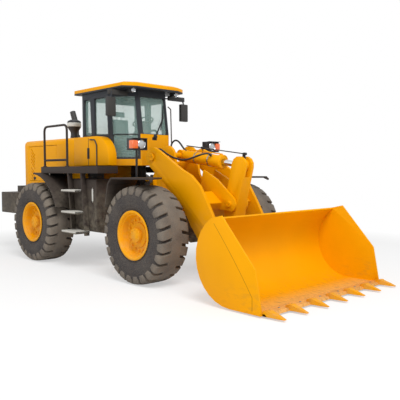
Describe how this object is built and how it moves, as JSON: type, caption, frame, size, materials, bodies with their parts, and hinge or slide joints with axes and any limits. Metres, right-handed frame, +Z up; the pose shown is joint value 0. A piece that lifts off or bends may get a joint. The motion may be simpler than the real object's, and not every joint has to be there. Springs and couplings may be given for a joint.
{
  "type": "articulated wheel loader",
  "caption": "Yellow articulated wheel loader with a toothed bucket on the ground, closed cab, deep-dish wheels and lugged tyres.",
  "frame": {"origin": "bottom centre of the whole machine's box, on the ground", "axes": "+X forward to the bucket, +Y to the machine's left, +Z up"},
  "size_m": [8.57, 2.97, 3.4799],
  "materials": {
    "black_plastic": "matt",
    "chrome": "hard chrome",
    "paint_cab_grey": "satin paint",
    "paint_dark_grey": "satin paint",
    "paint_yellow": "gloss paint",
    "seat_cloth": "woven",
    "tinted_glass": "tinted, polished",
    "tyre_rubber": "worn rubber",
    "worn_steel": "worn"
  },
  "bodies": {
    "root": {"access_left": "paint_dark_grey", "access_right": "paint_dark_grey", "air_intake": "black_plastic", "cab_roof": "paint_yellow", "cab_shell": "paint_cab_grey", "counterweight": "paint_dark_grey", "engine_block": "worn_steel", "exhaust_pipe": "worn_steel", "glass_corner_left": "tinted_glass", "glass_corner_right": "tinted_glass", "glass_front": "tinted_glass", "glass_rear": "tinted_glass", "glass_side_left": "tinted_glass", "glass_side_right_front": "tinted_glass", "glass_side_right_rear": "tinted_glass", "hood": "paint_yellow", "hood_sill_left": "paint_dark_grey", "hood_sill_right": "paint_dark_grey", "rear_axle": "paint_dark_grey", "rear_frame": "paint_dark_grey", "rear_grille": "black_plastic", "seat": "seat_cloth", "side_cover_right": "paint_yellow", "steering_console": "black_plastic", "tank_left": "paint_dark_grey", "tank_right": "paint_dark_grey"},
    "boom": {"boom": "paint_yellow"},
    "bucket": {"bucket_edge": "worn_steel", "bucket_shell": "paint_yellow"},
    "cab_door_left": {"cab_door_frame_left": "paint_cab_grey", "cab_door_glass_left": "tinted_glass"},
    "front": {"fender_bracket_left": "paint_yellow", "fender_bracket_right": "paint_yellow", "fender_left": "paint_dark_grey", "fender_right": "paint_dark_grey", "front_axle": "paint_dark_grey", "front_frame": "paint_yellow", "headlamp_left": "black_plastic", "headlamp_right": "black_plastic"},
    "hood_door_left": {"hood_panel_left": "paint_yellow"},
    "hood_door_right": {"hood_panel_right": "paint_yellow"},
    "lift_barrels": {"lift_barrel_left": "paint_yellow", "lift_barrel_right": "paint_yellow"},
    "lift_rods": {"lift_rod_left": "chrome", "lift_rod_right": "chrome"},
    "wheel_front_left": {"rim_front_left": "paint_yellow", "tyre_front_left": "tyre_rubber"},
    "wheel_front_right": {"rim_front_right": "paint_yellow", "tyre_front_right": "tyre_rubber"},
    "wheel_rear_left": {"rim_rear_left": "paint_yellow", "tyre_rear_left": "tyre_rubber"},
    "wheel_rear_right": {"rim_rear_right": "paint_yellow", "tyre_rear_right": "tyre_rubber"},
    "rocker": {"rocker": "paint_yellow"},
    "tilt_barrel": {"tilt_barrel": "paint_yellow"},
    "tilt_link": {"tilt_link": "paint_yellow"},
    "tilt_rod": {"tilt_rod": "chrome"}
  },
  "joints": [
    {"name": "articulation", "type": "hinge", "parent": "root", "child": "front", "pos_m": [-0.505, 0, 1.27957], "axis": [0, 0, 1], "range_deg": [-35, 35]},
    {"name": "roll_front_right", "type": "hinge", "parent": "front", "child": "wheel_front_right", "pos_m": [1.195, -1.125, 0.80457], "axis": [0, 1, 0], "continuous": true},
    {"name": "roll_front_left", "type": "hinge", "parent": "front", "child": "wheel_front_left", "pos_m": [1.195, 1.125, 0.80457], "axis": [0, 1, 0], "continuous": true},
    {"name": "roll_rear_right", "type": "hinge", "parent": "root", "child": "wheel_rear_right", "pos_m": [-2.205, -1.125, 0.80457], "axis": [0, 1, 0], "continuous": true},
    {"name": "roll_rear_left", "type": "hinge", "parent": "root", "child": "wheel_rear_left", "pos_m": [-2.205, 1.125, 0.80457], "axis": [0, 1, 0], "continuous": true},
    {"name": "boom_lift", "type": "hinge", "parent": "front", "child": "boom", "pos_m": [0.775, 0, 2.07957], "axis": [0, -1, 0], "range_deg": [0, 88]},
    {"name": "bucket_tilt", "type": "hinge", "parent": "boom", "child": "bucket", "pos_m": [2.57554, 0, 0.41808], "axis": [0, -1, 0], "range_deg": [-130, 42]},
    {"name": "rocker_turn", "type": "hinge", "parent": "boom", "child": "rocker", "pos_m": [2.175, 0, 1.29957], "axis": [0, -1, 0], "range_deg": [-7.22, 21.3]},
    {"name": "link_turn", "type": "hinge", "parent": "bucket", "child": "tilt_link", "pos_m": [2.69, 0, 0.62457], "axis": [0, -1, 0], "range_deg": [-28.64, 87.6]},
    {"name": "tilt_barrel_swing", "type": "hinge", "parent": "front", "child": "tilt_barrel", "pos_m": [0.855, 0, 2.11957], "axis": [0, -1, 0], "range_deg": [-0.5, 93.12]},
    {"name": "tilt_rod_stroke", "type": "slide", "parent": "tilt_barrel", "child": "tilt_rod", "axis": [0.9919, 0, -0.1273], "range_m": [-0.2353, 0.0794]},
    {"name": "lift_barrel_swing", "type": "hinge", "parent": "front", "child": "lift_barrels", "pos_m": [0.40381, 0, 1.20509], "axis": [0, -1, 0], "range_deg": [-0.5, 44.5]},
    {"name": "lift_rod_stroke", "type": "slide", "parent": "lift_barrels", "child": "lift_rods", "axis": [0.9781, 0, 0.2079], "range_m": [-0.005, 0.78062]},
    {"name": "cab_door_swing", "type": "hinge", "parent": "root", "child": "cab_door_left", "pos_m": [-0.445, 0.68, 1.98957], "axis": [0, 0, 1], "range_deg": [-80, 0]},
    {"name": "hood_door_lift_right", "type": "hinge", "parent": "root", "child": "hood_door_right", "pos_m": [-2.955, -0.705, 2.37657], "axis": [-1, 0, 0], "range_deg": [0, 75]},
    {"name": "hood_door_lift_left", "type": "hinge", "parent": "root", "child": "hood_door_left", "pos_m": [-2.955, 0.705, 2.37657], "axis": [1, 0, 0], "range_deg": [0, 75]}
  ],
  "couplings": [
    {"joint": "rocker_turn", "follows": "bucket_tilt", "ratio": -0.16},
    {"joint": "link_turn", "follows": "bucket_tilt", "ratio": -0.67},
    {"joint": "tilt_barrel_swing", "follows": "boom_lift", "ratio": 1.0525},
    {"joint": "tilt_rod_stroke", "follows": "bucket_tilt", "m_per_rad": 0.1015},
    {"joint": "lift_barrel_swing", "follows": "boom_lift", "ratio": 0.5},
    {"joint": "lift_rod_stroke", "follows": "boom_lift", "m_per_rad": 0.505}
  ]
}
